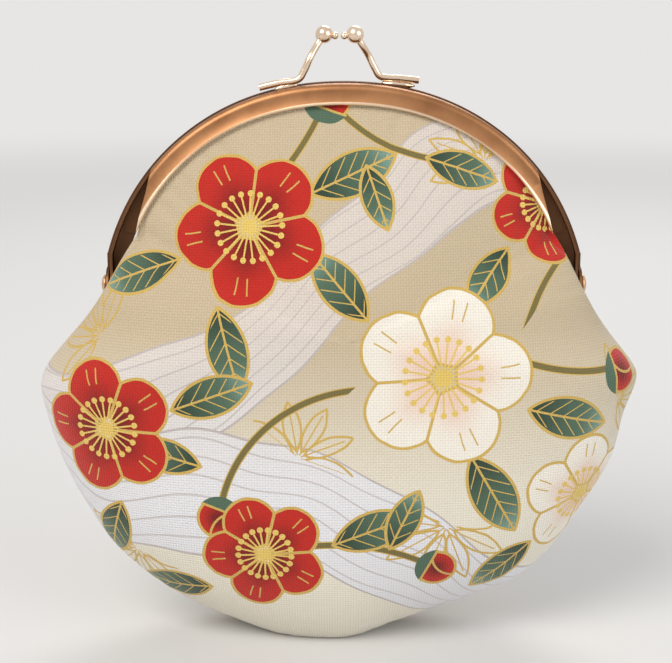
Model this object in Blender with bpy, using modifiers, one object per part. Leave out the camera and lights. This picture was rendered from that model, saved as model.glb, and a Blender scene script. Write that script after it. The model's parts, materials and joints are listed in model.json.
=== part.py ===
"""A round clasp purse: a frame of two hinged half-round metal channels, a ball clasp and a lined pouch."""

import bpy
import bmesh
from math import asin, atan2, cos, pi, radians, sin
from mathutils import Matrix, Vector

# Overall places, in metres: X across, front towards -Y, Z up from the surface that the purse stands on
ARC_RADIUS = 0.0434         # outside of the front frame half
POUCH_FLARE = 0.0161        # base seam beyond the arc
BASE_PRESS = 0.0025         # how far the base is pressed flat where it stands
HINGE_ANGLE = radians(80)   # hinge axis, from the top of the arc

# Metal frame
FRAME_GAP = 0.0003          # between the two closed halves, and between rubbing pieces
FRAME_WALL = 0.0005         # sheet that the channels are bent from
CHANNEL_DEPTH = 0.004       # one half, from parting plane to face
CHANNEL_BAND = 0.0041       # height of the outer flange
INNER_FLANGE = 0.0034       # height of the flange at the parting plane
CHANNEL_ROUND = 0.0012      # bend between web and outer flange
LIP_ROLL = 0.00012          # how far the outer flange's edge is rolled out
LIP_HEIGHT = 0.0006
CHANNEL_SPAN = radians(66)  # each side of the top
FLANGE_SPAN = radians(57.5) # where the outer flange's corner is cut off upright
STRAP_DEPTH = 0.0024        # width of the web that runs on to the ear
EAR_ANGLE = radians(74)     # where the strap turns into the flat ear
EAR_RADIUS = 0.0032
EAR_LAP = 0.0004            # how far the ear's neck laps the end of the strap
JOIN_STEP = 0.00003         # a joined plate is this much narrower than what it joins, on each side
JOIN_TURN = radians(1)      # the inner flange's run stops this far before the end of the strap
FLANGE_LAP = radians(3)     # how far the inner flange's run laps into the channel
FLANGE_FOOT = 0.0014        # width of the inner flange's lowest end, beside the ear
BACK_DROP = 0.0006          # the back half's arc is wider, and its centre lies this much lower

# Rivets
RIVET_RADIUS = 0.0008
RIVET_HEAD_RADIUS = 0.0018
RIVET_HEAD_HEIGHT = 0.0008

# Clasp
CLASP_OFFSET = -0.0008      # clasp's middle from the frame's middle
CLASP_REACH = 0.0137        # end of a foot from the clasp's middle
CLASP_ROD = 0.00062
CLASP_HEEL = 0.0072         # where the foot turns up into the stem
CLASP_RISE = 0.0083         # ball's centre above the arc
STEM_RUN = 0.00124          # stem's bend at the heel: this far in, and this far up
STEM_LIFT = 0.0016
STEM_BOW = 0.00062          # how far the stem's middle bows out from the parting plane
STEM_TOP_OUT = 0.00116      # where the stem meets the ball, from the ball's centre
STEM_TOP_DROP = 0.0017
BALL_RADIUS = 0.00155
BALL_REACH = 0.0027         # ball's centre from the clasp's middle
BALL_PASS = 0.0005          # how far a ball has passed the parting plane
NUB_RADIUS = 0.00065
NUB_DROP = 0.0002           # nub's centre below the ball's
SOLDER = 0.0002             # film between foot and frame

# Cloth
CLOTH = 0.0006              # printed cotton with its interlining
LINING = 0.0004
CLOTH_GAP = 0.0003
HALF_DEPTH = 0.017          # front of the pouch from the parting plane, at the arc's centre
LOW_BULGE = 0.25            # how much fuller the pouch gets towards its base
TUCK = 0.0022               # cloth edge inside the channel, from its web
SHOULDER_ANGLE = radians(70.7)
SHOULDER_TUCK = 0.0026      # side's start, inside the arc
HIP_FLARE = 0.0117          # hip beyond the arc
HIP_DROP = 0.0103           # hip below the arc's centre
HIP_SHARPNESS = 40
SEAM_GAP = 0.0004           # each panel's edge from the parting plane
SEAM_HEM = 0.0005
EAR_CLEARANCE = 0.0004      # lining in front of the ears
TOP_FULLNESS = 1.6
SIDE_FULLNESS = 3.8
FULL_START = radians(54)    # where the tent-like fall below the frame turns into the rounded side seam
FULL_END = radians(104)
CHANNEL_RUN_IN = radians(6) # over these angles the cloth leaves the channel
CHANNEL_RUN_OUT = radians(3)
EAR_RUN = radians(14)       # over this angle past the hinge it closes to the seam
EDGE_CROWDING = 1.7         # how much closer the grid's rings lie towards the edge
SECTORS = 60
RINGS = 8

# Paper cords
PAPER_CORD_RADIUS = 0.00037
PAPER_CORD_SPAN = radians(60)

# Print: round fields that stand for its blossoms, as (x, z, radius, colour)
GROUND = (0.60, 0.49, 0.34)
RED = (0.50, 0.03, 0.02)
WHITE = (0.90, 0.84, 0.74)
BLOSSOMS = (
    (-0.016, 0.076, 0.013, RED),
    (0.017, 0.051, 0.014, WHITE),
    (-0.041, 0.042, 0.011, RED),
    (0.036, 0.080, 0.008, RED),
    (-0.013, 0.021, 0.010, RED),
    (0.041, 0.030, 0.010, WHITE),
)

ARC_STEPS = 24              # facets of the round shapes
STRAP_STEPS = 3
ROUND_STEPS = 24

BASE_RADIUS = ARC_RADIUS + POUCH_FLARE
ARC_HEIGHT = BASE_RADIUS - BASE_PRESS
HINGE_HEIGHT = ARC_HEIGHT + ARC_RADIUS * cos(HINGE_ANGLE)
SHOULDER_RADIUS = ARC_RADIUS - SHOULDER_TUCK
SHOULDER = (SHOULDER_RADIUS * sin(SHOULDER_ANGLE), SHOULDER_RADIUS * cos(SHOULDER_ANGLE))
HIP = (ARC_RADIUS + HIP_FLARE, -HIP_DROP)


def clear_scene():
    """Remove everything that the file opened with."""
    for obj in list(bpy.data.objects):
        bpy.data.objects.remove(obj, do_unlink=True)


def new_collection(name):
    group = bpy.data.collections.new(name)
    bpy.context.scene.collection.children.link(group)
    return group


def principled(name, colour, roughness, metallic):
    material = bpy.data.materials.new(name)
    material.use_nodes = True
    shader = material.node_tree.nodes["Principled BSDF"]
    shader.inputs["Base Color"].default_value = (*colour, 1)
    shader.inputs["Roughness"].default_value = roughness
    shader.inputs["Metallic"].default_value = metallic
    material.diffuse_color = (*colour, 1)
    return material


def round_field(tree, place, x, z, radius):
    """1 inside a round field of the print about a place on the cloth, and 0 outside it."""
    offset = tree.nodes.new("ShaderNodeVectorMath")
    offset.operation = "SUBTRACT"
    offset.inputs[1].default_value = (x, 0, z)
    tree.links.new(place, offset.inputs[0])
    flat = tree.nodes.new("ShaderNodeVectorMath")
    flat.operation = "MULTIPLY"
    flat.inputs[1].default_value = (1, 0, 1)
    tree.links.new(offset.outputs[0], flat.inputs[0])
    length = tree.nodes.new("ShaderNodeVectorMath")
    length.operation = "LENGTH"
    tree.links.new(flat.outputs[0], length.inputs[0])
    inside = tree.nodes.new("ShaderNodeMath")
    inside.operation = "LESS_THAN"
    inside.inputs[1].default_value = radius
    tree.links.new(length.outputs["Value"], inside.inputs[0])
    return inside.outputs[0]


def add_print(material, ground, fields):
    """Print round fields of colour on a material, each a middle, a radius and a colour, the last on top."""
    tree = material.node_tree
    place = tree.nodes.new("ShaderNodeTexCoord").outputs["Object"]
    under = tree.nodes.new("ShaderNodeRGB")
    under.outputs[0].default_value = (*ground, 1)
    colour = under.outputs[0]
    for x, z, radius, field_colour in fields:
        mix = tree.nodes.new("ShaderNodeMixRGB")
        mix.inputs["Color2"].default_value = (*field_colour, 1)
        tree.links.new(round_field(tree, place, x, z, radius), mix.inputs["Fac"])
        tree.links.new(colour, mix.inputs["Color1"])
        colour = mix.outputs[0]
    tree.links.new(colour, tree.nodes["Principled BSDF"].inputs["Base Color"])


def add_object(name, bm, group, material, smooth=True):
    """Turn a bmesh into an object of its own."""
    mesh = bpy.data.meshes.new(name)
    bmesh.ops.recalc_face_normals(bm, faces=bm.faces)
    bm.to_mesh(mesh)
    bm.free()
    if smooth:
        mesh.shade_smooth()
        mesh.set_sharp_from_angle(angle=radians(40))
    obj = bpy.data.objects.new(name, mesh)
    group.objects.link(obj)
    if material:
        mesh.materials.append(material)
    return obj


def add_cutter(name, bm):
    obj = add_object(name, bm, cutters, None, smooth=False)
    obj.hide_render = True
    obj.display_type = "WIRE"
    return obj


def boolean(obj, other, operation):
    modifier = obj.modifiers.new(operation.lower(), "BOOLEAN")
    modifier.operation = operation
    modifier.object = other


def at_angle(centre, radius, angle, y=0.0):
    """Point on an arc about a centre height, the angle counted from the top towards +X."""
    return Vector((radius * sin(angle), y, centre + radius * cos(angle)))


def swept(profile, centre, span):
    """Closed section of (radius, y) points, turned about a centre height by span each side of the top."""
    bm = bmesh.new()
    verts = [bm.verts.new(at_angle(centre, radius, -span, y)) for radius, y in profile]
    face = bm.faces.new(verts)
    bmesh.ops.spin(bm, geom=[face, *face.edges, *verts], cent=(0, 0, centre), axis=(0, 1, 0),
                   angle=2 * span, steps=ARC_STEPS, use_merge=False, use_duplicate=False)
    return bm


def quarter(radius_centre, y_centre, round_radius, steps):
    """Points of the bend between the web and the outer flange."""
    angles = [pi / 2 * i / steps for i in range(steps + 1)]
    return [(radius_centre + round_radius * cos(a), y_centre + round_radius * sin(a)) for a in angles]


def channel_section(outside):
    """Section of one frame half, as (radius, distance from the parting plane)."""
    near = FRAME_GAP / 2
    far = near + CHANNEL_DEPTH
    edge = outside - CHANNEL_BAND
    outer = [(outside - INNER_FLANGE, near), (outside - FRAME_WALL, near), (outside, near)]
    outer += [(outside, near + STRAP_DEPTH)]
    outer += quarter(outside - CHANNEL_ROUND, far - CHANNEL_ROUND, CHANNEL_ROUND, 4)
    lip = [(edge + LIP_HEIGHT, far), (edge + LIP_HEIGHT / 2, far + LIP_ROLL)]
    lip += [(edge, far), (edge, far - FRAME_WALL)]
    inner = quarter(outside - CHANNEL_ROUND, far - CHANNEL_ROUND, CHANNEL_ROUND - FRAME_WALL, 3)[::-1]
    inner += [(outside - FRAME_WALL, near + depth) for depth in (STRAP_DEPTH, FRAME_WALL)]
    inner += [(outside - INNER_FLANGE, near + FRAME_WALL)]
    return outer + lip + inner


def boxes_at_both_ends(low, high):
    """Two boxes between the given corners, one a mirror image of the other across X."""
    bm = bmesh.new()
    for mirror in (-1, 1):
        size = Vector(high) - Vector(low)
        middle = (Vector(high) + Vector(low)) / 2
        middle.x *= mirror
        box = Matrix.Translation(middle) @ Matrix.Diagonal((*size, 1))
        bmesh.ops.create_cube(bm, size=1, matrix=box)
    return bm


def ordered(a, b):
    return (a, b) if a < b else (b, a)


def draw_out_strap(bm, side, mirror, outside, centre, reach):
    """Run the web on past one end of the channel, from its own part of the end face."""
    near = side * FRAME_GAP / 2
    far = near + side * STRAP_DEPTH
    inside = outside - FRAME_WALL
    strap_middle = at_angle(centre, outside - FRAME_WALL / 2, mirror * CHANNEL_SPAN, (near + far) / 2)
    end_faces = [face for face in bm.faces if len(face.verts) > 4]
    end = max(end_faces, key=lambda face: mirror * face.verts[0].co.x)
    for cut in (((inside, near), (inside, near + side * FRAME_WALL)), ((inside, far), (outside, far))):
        places = [at_angle(centre, radius, mirror * CHANNEL_SPAN, y) for radius, y in cut]
        corners = [min(end.verts, key=lambda vert: (vert.co - place).length) for place in places]
        other = bmesh.utils.face_split(end, *corners)[0]
        end = min((end, other), key=lambda face: (face.calc_center_median() - strap_middle).length)
    bmesh.ops.spin(bm, geom=[end, *end.edges, *end.verts], cent=(0, 0, centre), axis=(0, 1, 0),
                   angle=mirror * (reach - CHANNEL_SPAN), steps=STRAP_STEPS, use_merge=False,
                   use_duplicate=False)


def round_points(radius, start, end, steps):
    """Points of an arc in a flat plate, from one angle to another."""
    angles = [start + (end - start) * i / steps for i in range(steps + 1)]
    return [(radius * cos(a), radius * sin(a)) for a in angles]


def flat_plate(name, outlines, thickness, place, turn):
    """Plate of the given outlines in its own plane, the later ones holes, then turned and put in place."""
    curve = bpy.data.curves.new(name, "CURVE")
    curve.dimensions = "2D"
    curve.fill_mode = "BOTH"
    curve.extrude = thickness / 2
    for outline in outlines:
        spline = curve.splines.new("POLY")
        spline.use_cyclic_u = True
        spline.points.add(len(outline) - 1)
        for point, (across, up) in zip(spline.points, outline):
            point.co = (across, up, 0, 1)
    plate = bpy.data.objects.new(name, curve)
    bpy.context.scene.collection.objects.link(plate)
    plate.location = place
    plate.rotation_euler = turn
    return mesh_from_curve(plate)


def ear_plate(name, side, mirror, ear_face, neck):
    """Flat ear: a disc about the hinge axis with its rivet hole, and a neck up to the strap."""
    near = FRAME_GAP / 2 + JOIN_STEP
    far = FRAME_GAP / 2 + STRAP_DEPTH - JOIN_STEP
    start = pi / 2 - asin(near / EAR_RADIUS)
    end = pi / 2 - asin(far / EAR_RADIUS)
    outline = round_points(EAR_RADIUS, start, end + 2 * pi, ROUND_STEPS) + [(far, neck), (near, neck)]
    hole = round_points(RIVET_RADIUS + FRAME_GAP, 0, 2 * pi, ROUND_STEPS)[1:]
    outlines = [[(side * y, z) for y, z in points] for points in (outline, hole)]
    place = (mirror * (ear_face - FRAME_WALL / 2), 0, HINGE_HEIGHT)
    return flat_plate(name, outlines, FRAME_WALL, place, (pi / 2, 0, pi / 2))


def flange_plate(name, side, mirror, outside, centre, ear_face, foot_height):
    """The inner flange's run past the channel's end: it follows the strap and narrows towards the ear."""
    start = pi / 2 - CHANNEL_SPAN + FLANGE_LAP
    end = pi / 2 - asin(ear_face / outside) + JOIN_TURN
    outer = round_points(outside - FRAME_WALL / 2, start, end, STRAP_STEPS)
    inner = round_points(outside - INNER_FLANGE + JOIN_STEP, end, start, STRAP_STEPS)
    edge = ear_face - FRAME_WALL / 2
    foot = [(edge, foot_height - centre), (edge - FLANGE_FOOT, foot_height - centre)]
    outline = [(mirror * x, z) for x, z in outer + foot + inner]
    place = (0, side * (FRAME_GAP + FRAME_WALL) / 2, centre)
    return flat_plate(name, [outline], FRAME_WALL - 4 * JOIN_STEP, place, (pi / 2, 0, 0))


def add_frame_half(name, side, outside, centre, ear_face, foot_height, material):
    """One half of the frame: a channel, its straps, and the two ears that the rivets go through."""
    section = [(radius, side * y) for radius, y in channel_section(outside)]
    bm = swept(section, centre, CHANNEL_SPAN)
    neck = centre + (outside**2 - ear_face**2) ** 0.5 + EAR_LAP - HINGE_HEIGHT
    plates = []
    for label, mirror in (("_left", -1), ("_right", 1)):
        draw_out_strap(bm, side, mirror, outside, centre, asin((ear_face - JOIN_STEP) / outside))
        flange = flange_plate(name + label, side, mirror, outside, centre, ear_face, foot_height)
        plates.append(add_cutter(name + label + "_flange", flange))
        ear = ear_plate(name + label, side, mirror, ear_face, neck)
        plates.append(add_cutter(name + label + "_ear", ear))
    frame = add_object(name, bm, parts, material)
    for plate in plates:
        boolean(frame, plate, "UNION")

    past_strap = FRAME_GAP / 2 + STRAP_DEPTH + JOIN_STEP
    low_y, high_y = ordered(side * past_strap, side * (past_strap + CHANNEL_DEPTH))
    flange_end = ARC_RADIUS * sin(FLANGE_SPAN)
    bm = boxes_at_both_ends((flange_end, low_y, ARC_HEIGHT), (2 * outside, high_y, ARC_HEIGHT + outside))
    boolean(frame, add_cutter(name + "_flange_ends", bm), "DIFFERENCE")
    return frame


def add_rivet(name, side, inner_face, outer_face, material):
    """Turned rivet along X, headed outside the outer ear and inside the inner one."""
    dome = [pi / 2 * i / 4 for i in range(4)]
    outer_seat = outer_face + FRAME_GAP
    inner_seat = inner_face - FRAME_GAP
    profile = [(RIVET_HEAD_RADIUS * sin(a), outer_seat + RIVET_HEAD_HEIGHT * cos(a)) for a in dome]
    profile += [(RIVET_HEAD_RADIUS, outer_seat), (RIVET_RADIUS, outer_seat), (RIVET_RADIUS, inner_seat)]
    profile += [(RIVET_HEAD_RADIUS, inner_seat)]
    profile += [(RIVET_HEAD_RADIUS * cos(a), inner_seat - RIVET_HEAD_HEIGHT * sin(a)) for a in dome[1:]]
    profile += [(0, inner_seat - RIVET_HEAD_HEIGHT)]
    mesh = bpy.data.meshes.new(name)
    edges = [(i, i + 1) for i in range(len(profile) - 1)]
    mesh.from_pydata([(radius, 0, along) for radius, along in profile], edges, [])
    rivet = bpy.data.objects.new(name, mesh)
    parts.objects.link(rivet)
    mesh.materials.append(material)
    rivet.location = (0, 0, HINGE_HEIGHT)
    rivet.rotation_euler = (0, side * pi / 2, 0)
    turn = rivet.modifiers.new("turn", "SCREW")
    turn.steps = turn.render_steps = 16
    turn.use_merge_vertices = True
    turn.merge_threshold = 0.00001
    return rivet


def mesh_from_curve(curve_object):
    """Replace a curve by the mesh that it draws, with its end caps welded on."""
    bpy.context.view_layer.update()
    evaluated = curve_object.evaluated_get(bpy.context.evaluated_depsgraph_get())
    mesh = bpy.data.meshes.new_from_object(evaluated)
    bm = bmesh.new()
    bm.from_mesh(mesh)
    bmesh.ops.remove_doubles(bm, verts=bm.verts, dist=0.000001)
    bm.transform(curve_object.matrix_world)
    bpy.data.objects.remove(curve_object, do_unlink=True)
    return bm


def rod(name, points, radius, resolution, smooth_steps):
    """Round rod through the points, rounded at its bends."""
    curve = bpy.data.curves.new(name, "CURVE")
    curve.dimensions = "3D"
    curve.bevel_depth = radius
    curve.bevel_resolution = resolution
    curve.use_fill_caps = True
    spline = curve.splines.new("POLY")
    route = smooth_route(points, smooth_steps)
    spline.points.add(len(route) - 1)
    for point, place in zip(spline.points, route):
        point.co = (*place, 1)
    obj = bpy.data.objects.new(name, curve)
    bpy.context.scene.collection.objects.link(obj)
    return mesh_from_curve(obj)


def smooth_route(points, steps):
    """Points of a smooth curve that passes through all the given ones."""
    if steps < 2:
        return [Vector(p) for p in points]
    places = [Vector(p) for p in points]
    ends = [2 * places[0] - places[1], *places, 2 * places[-1] - places[-2]]
    route = []
    for a, b, c, d in zip(ends, ends[1:], ends[2:], ends[3:]):
        for i in range(steps):
            t = i / steps
            route.append(0.5 * (2 * b + (c - a) * t + (2 * a - 5 * b + 4 * c - d) * t**2
                                + (3 * b - a - 3 * c + d) * t**3))
    route.append(ends[-2])
    return route


def add_clasp_arm(name, side, mirror, outside, centre, material):
    """Foot, stem, ball and inner nub of one clasp arm, cast as one piece."""
    foot_y = side * (FRAME_GAP / 2 + CHANNEL_DEPTH / 2)
    foot_radius = outside + SOLDER + CLASP_ROD
    ball_height = ARC_HEIGHT + ARC_RADIUS + CLASP_RISE
    ball = Vector((CLASP_OFFSET + mirror * BALL_REACH, -side * BALL_PASS, ball_height))

    def on_frame(reach):
        x = CLASP_OFFSET + mirror * reach
        return Vector((x, foot_y, centre + (foot_radius**2 - x**2) ** 0.5))

    heel = on_frame(CLASP_HEEL)
    bend = heel + Vector((-mirror * STEM_RUN, 0, STEM_LIFT))
    top = ball + Vector((mirror * STEM_TOP_OUT, side * BALL_PASS, -STEM_TOP_DROP))
    middle = (bend + top) / 2 + Vector((0, side * STEM_BOW, 0))
    foot = [on_frame(CLASP_REACH), on_frame((CLASP_REACH + CLASP_HEEL) / 2), heel]
    points = foot + [bend, middle, top, ball]
    arm_mesh = rod(name, points, CLASP_ROD, 2, 3)
    arm = add_object(name, arm_mesh, parts, material)

    nub = Vector((CLASP_OFFSET + mirror * (FRAME_GAP / 2 + NUB_RADIUS), ball.y, ball.z - NUB_DROP))
    for label, place, radius, segments in (("_ball", ball, BALL_RADIUS, 14), ("_nub", nub, NUB_RADIUS, 8)):
        bm = bmesh.new()
        bmesh.ops.create_uvsphere(bm, u_segments=segments, v_segments=segments // 2 + 1, radius=radius,
                                  matrix=Matrix.Translation(place))
        boolean(arm, add_cutter(name + label, bm), "UNION")
    return arm


def smoothstep(low, high, value):
    t = min(max((value - low) / (high - low), 0.0), 1.0)
    return t * t * (3 - 2 * t)


def side_line(angle):
    """Distance from the arc's centre to the straight side between shoulder and hip."""
    slope = (HIP[0] - SHOULDER[0]) / (HIP[1] - SHOULDER[1])
    across, up = sin(angle), cos(angle)
    return (SHOULDER[0] - slope * SHOULDER[1]) / max(across - slope * up, 0.01)


def seam_radius(angle):
    """Distance from the arc's centre to the seam, growing from the hip to the base."""
    hip = Vector(HIP)
    hip_angle = atan2(hip.x, hip.y)
    return hip.length + (BASE_RADIUS - hip.length) * (angle - hip_angle) / (pi - hip_angle)


def cloth_edge(angle):
    """Edge of the panel: inside the channel, then the side, the rounded hip and the base seam."""
    side, seam = side_line(angle), seam_radius(angle)
    free = (side**-HIP_SHARPNESS + seam**-HIP_SHARPNESS) ** (-1 / HIP_SHARPNESS)
    in_channel = ARC_RADIUS - TUCK + FRAME_WALL
    leaving = smoothstep(CHANNEL_SPAN - CHANNEL_RUN_IN, CHANNEL_SPAN + CHANNEL_RUN_OUT, angle)
    return in_channel + (free - in_channel) * leaving


def edge_depth(angle, inset):
    """Distance of the panel's edge from the parting plane."""
    channel_seat = FRAME_GAP / 2 + CHANNEL_DEPTH - FRAME_WALL - CLOTH_GAP - inset
    before_ear = EAR_RADIUS + EAR_CLEARANCE + LINING + CLOTH_GAP + CLOTH - inset
    past_channel = smoothstep(CHANNEL_SPAN, CHANNEL_SPAN + CHANNEL_RUN_IN, angle)
    past_ear = smoothstep(HINGE_ANGLE, HINGE_ANGLE + EAR_RUN, angle)
    depth = channel_seat + (before_ear - channel_seat) * past_channel
    return depth + (SEAM_GAP - depth) * past_ear


def hem(angle):
    """Strip along the edge, as (height, depth): flat where the channel holds it, upright along the seam."""
    held = CHANNEL_BAND - TUCK + FRAME_WALL + CLOTH_GAP
    free = smoothstep(CHANNEL_SPAN, CHANNEL_SPAN + CHANNEL_RUN_IN, angle)
    return held * (1 - free), SEAM_HEM * free


def cloth_point(share, in_hem, angle, inset, side):
    """Point of a panel: share runs from its middle to its hem, inset is its depth under the outer face."""
    turn = abs(angle)
    hem_height, hem_depth = hem(turn)
    edge = cloth_edge(turn) - inset
    radius = edge if in_hem else (edge - hem_height) * share
    across, up = radius * sin(angle), radius * cos(angle)
    fullest = (HALF_DEPTH - inset) * (1 + LOW_BULGE * (min(up, 0) / BASE_RADIUS) ** 2)
    upper = 1 - share**TOP_FULLNESS
    lower = (1 - share**SIDE_FULLNESS) ** 0.5
    weight = smoothstep(FULL_START, FULL_END, turn)
    start = edge_depth(turn, inset) + (0 if in_hem else hem_depth)
    depth = start + (fullest - start) * (upper + (lower - upper) * weight)
    return Vector((across, side * depth, max(ARC_HEIGHT + up, inset)))


def cloth_surface(inset, side):
    """Open surface of one whole panel, from a flat grid whose last row of faces is the hem."""
    bm = bmesh.new()
    bmesh.ops.create_grid(bm, x_segments=RINGS, y_segments=SECTORS, size=1)
    for vert in bm.verts:
        row = (vert.co.x + 1) / 2 * RINGS / (RINGS - 1)
        share = 1 - (1 - min(row, 1.0)) ** EDGE_CROWDING
        vert.co = cloth_point(share, row > 1 + 0.1 / RINGS, vert.co.y * pi, inset, side)
    bmesh.ops.remove_doubles(bm, verts=bm.verts, dist=0.00001)
    return bm


def add_cloth(name, inset, thickness, side, upper, material):
    """The upper or the lower part of one panel, parted at the height of the hinge, where the cloth folds."""
    bm = cloth_surface(inset, side)
    direction = 1 if upper else -1
    plane = HINGE_HEIGHT + direction * CLOTH_GAP / 2
    bmesh.ops.bisect_plane(bm, geom=[*bm.verts, *bm.edges, *bm.faces], dist=0.000001, plane_co=(0, 0, plane),
                           plane_no=(0, 0, -direction), clear_outer=True)
    panel = add_object(name, bm, parts, material)
    if side * sum(face.normal.y * face.area for face in panel.data.polygons) < 0:
        panel.data.flip_normals()
    shell = panel.modifiers.new("cloth", "SOLIDIFY")
    shell.thickness = thickness
    shell.offset = -1
    return panel


def add_paper_cord(name, side, material):
    """Paper cord pressed in beside the cloth to hold it in the channel."""
    y = side * (FRAME_GAP / 2 + FRAME_WALL + CLOTH_GAP + PAPER_CORD_RADIUS)
    radius = ARC_RADIUS - TUCK
    steps = 30
    angles = [PAPER_CORD_SPAN * (2 * i / steps - 1) for i in range(steps + 1)]
    bm = rod(name, [at_angle(ARC_HEIGHT, radius, a, y) for a in angles], PAPER_CORD_RADIUS, 1, 1)
    return add_object(name, bm, parts, material)


clear_scene()
parts = new_collection("clasp_purse")
cutters = new_collection("cutters")

gold = principled("gold_plate", (0.60, 0.40, 0.22), 0.28, 1.0)
bright_gold = principled("bright_gold_plate", (0.78, 0.66, 0.52), 0.18, 1.0)
printed_cotton = principled("printed_cotton", GROUND, 0.85, 0.0)
add_print(printed_cotton, GROUND, BLOSSOMS)
lining_cotton = principled("lining_cotton", (0.80, 0.74, 0.62), 0.85, 0.0)
paper = principled("twisted_paper", (0.55, 0.45, 0.32), 0.9, 0.0)

EAR_STEP = FRAME_WALL + FRAME_GAP
FRONT_EAR = ARC_RADIUS * sin(EAR_ANGLE)
ABOVE_RIVET = HINGE_HEIGHT + RIVET_HEAD_RADIUS + FRAME_GAP
ABOVE_EAR = HINGE_HEIGHT + EAR_RADIUS + FRAME_GAP
HALVES = (
    ("front", -1, ARC_RADIUS, ARC_HEIGHT, FRONT_EAR, ABOVE_RIVET),
    ("back", 1, ARC_RADIUS + EAR_STEP, ARC_HEIGHT - BACK_DROP, FRONT_EAR + EAR_STEP, ABOVE_EAR),
)

for label, side, outside, centre, ear_face, foot_height in HALVES:
    add_frame_half(label + "_frame", side, outside, centre, ear_face, foot_height, gold)
    add_clasp_arm(label + "_clasp_arm", side, side, outside, centre, bright_gold)
    add_paper_cord(label + "_paper_cord", side, paper)
    for upper, place in ((True, "_top"), (False, "")):
        add_cloth(label + "_panel" + place, 0.0, CLOTH, side, upper, printed_cotton)
        add_cloth(label + "_lining" + place, CLOTH + CLOTH_GAP, LINING, side, upper, lining_cotton)

for label, side in (("left", -1), ("right", 1)):
    add_rivet(label + "_rivet", side, FRONT_EAR - FRAME_WALL, FRONT_EAR + EAR_STEP, gold)
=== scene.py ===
import json
from math import asin, atan2, cos, hypot, pi, radians, sin, tan

import bmesh
import bpy
import numpy as np
from mathutils import Euler, Matrix, Vector


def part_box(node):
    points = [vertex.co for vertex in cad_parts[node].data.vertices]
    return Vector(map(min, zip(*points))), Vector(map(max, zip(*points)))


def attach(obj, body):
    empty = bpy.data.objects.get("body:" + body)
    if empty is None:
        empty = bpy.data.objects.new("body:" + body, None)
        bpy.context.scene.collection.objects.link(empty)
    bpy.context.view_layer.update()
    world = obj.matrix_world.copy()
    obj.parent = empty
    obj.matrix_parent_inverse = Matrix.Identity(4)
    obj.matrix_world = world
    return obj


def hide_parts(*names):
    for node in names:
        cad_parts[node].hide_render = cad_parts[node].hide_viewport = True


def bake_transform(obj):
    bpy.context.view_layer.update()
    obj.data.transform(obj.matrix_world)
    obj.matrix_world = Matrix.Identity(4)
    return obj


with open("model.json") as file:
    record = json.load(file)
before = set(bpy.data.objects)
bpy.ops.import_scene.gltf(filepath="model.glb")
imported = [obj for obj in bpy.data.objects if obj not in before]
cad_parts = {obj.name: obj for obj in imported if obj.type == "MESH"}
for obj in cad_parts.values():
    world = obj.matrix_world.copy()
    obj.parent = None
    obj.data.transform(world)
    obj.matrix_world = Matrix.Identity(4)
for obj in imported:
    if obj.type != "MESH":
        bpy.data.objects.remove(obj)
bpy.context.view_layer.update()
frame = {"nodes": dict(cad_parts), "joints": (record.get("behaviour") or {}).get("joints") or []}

# Frame halves. Two channels bent from thin steel strip and plated light gold. The outer flange ends in a
# rolled lip that holds the cloth, and is cut to a point at each end. The web and the inner flange run on
# past it to a flat ear on each hinge rivet.
ARC_RADIUS = 0.0434         # outside of the front half, at its top
ARC_SQUARENESS = 2.13       # 2 would be a true circle; the arc is a little fuller at its shoulders
STRIP = 0.0005              # thickness of the steel
CHANNEL_DEPTH = 0.004       # front to back
CHANNEL_BAND = 0.0037       # width of the outer flange, as the front shows it
BAND_NARROWING = 0.07       # share that the flanges lose towards their ends
INNER_FLANGE = 0.0034
OUTER_BEND = 0.0012
LIP_BEAD = 0.00034
LIP_ROLL = 0.00012          # how far the lip stands proud of the flange
LIP_SPREAD = 0.0006         # how much wider the painted highlight on the lip is near its ends
LIP_SPREAD_HEIGHTS = (0.018, 0.036)     # over the arc's centre: all of it at the first, none at the last
INSIDE_SHADE_DEPTHS = (0.0024, 0.0034)    # from the parting plane, over which the painted shade inside the channel fades out
BUFFING = (400, 5200, 400)  # specks of noise a metre across, deep and up, drawn out into fine lines
PLATE_RELIEF = 0.000012
CHANNEL_SPAN = radians(66)
FLANGE_CUT = ((0.0333, 0.0315), (0.0338, 0.0289), (0.03485, 0.0245), (0.0362, 0.02), (0.0375, 0.014))
STRAP_DEPTH = 0.0024
EAR_ANGLE = radians(74)
EAR_RADIUS = 0.0032
EAR_LAP = 0.0002
JOIN_STEP = 0.00003         # a joined plate is this much narrower than what it joins
FLANGE_FOOT = 0.0014
HALF_GAP = 0.00015          # half the gap between the closed halves
RIVET_HOLE = 0.0011
HEAD_RADIUS = 0.0018
RUNNING_GAP = 0.0003
EDGE_ROUND = 0.00013
BEND_ANGLE = 55             # faces that meet at less than this are one bent surface, in degrees
ARC_STEPS = 144

hinge = Vector(frame["joints"][0]["pos_m"])
arc_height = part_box("front_frame")[1].z - ARC_RADIUS
ear_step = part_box("back_frame")[1].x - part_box("front_frame")[1].x
back_radius = ARC_RADIUS + ear_step
back_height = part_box("back_frame")[1].z - back_radius


def tone(red, green, blue):
    """A colour as a screen shows it, from 0 to 255, for a shader's socket."""
    parts = [c / 255 for c in (red, green, blue)]
    return (*[c / 12.92 if c <= 0.04045 else ((c + 0.055) / 1.055) ** 2.4 for c in parts], 1)


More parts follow.
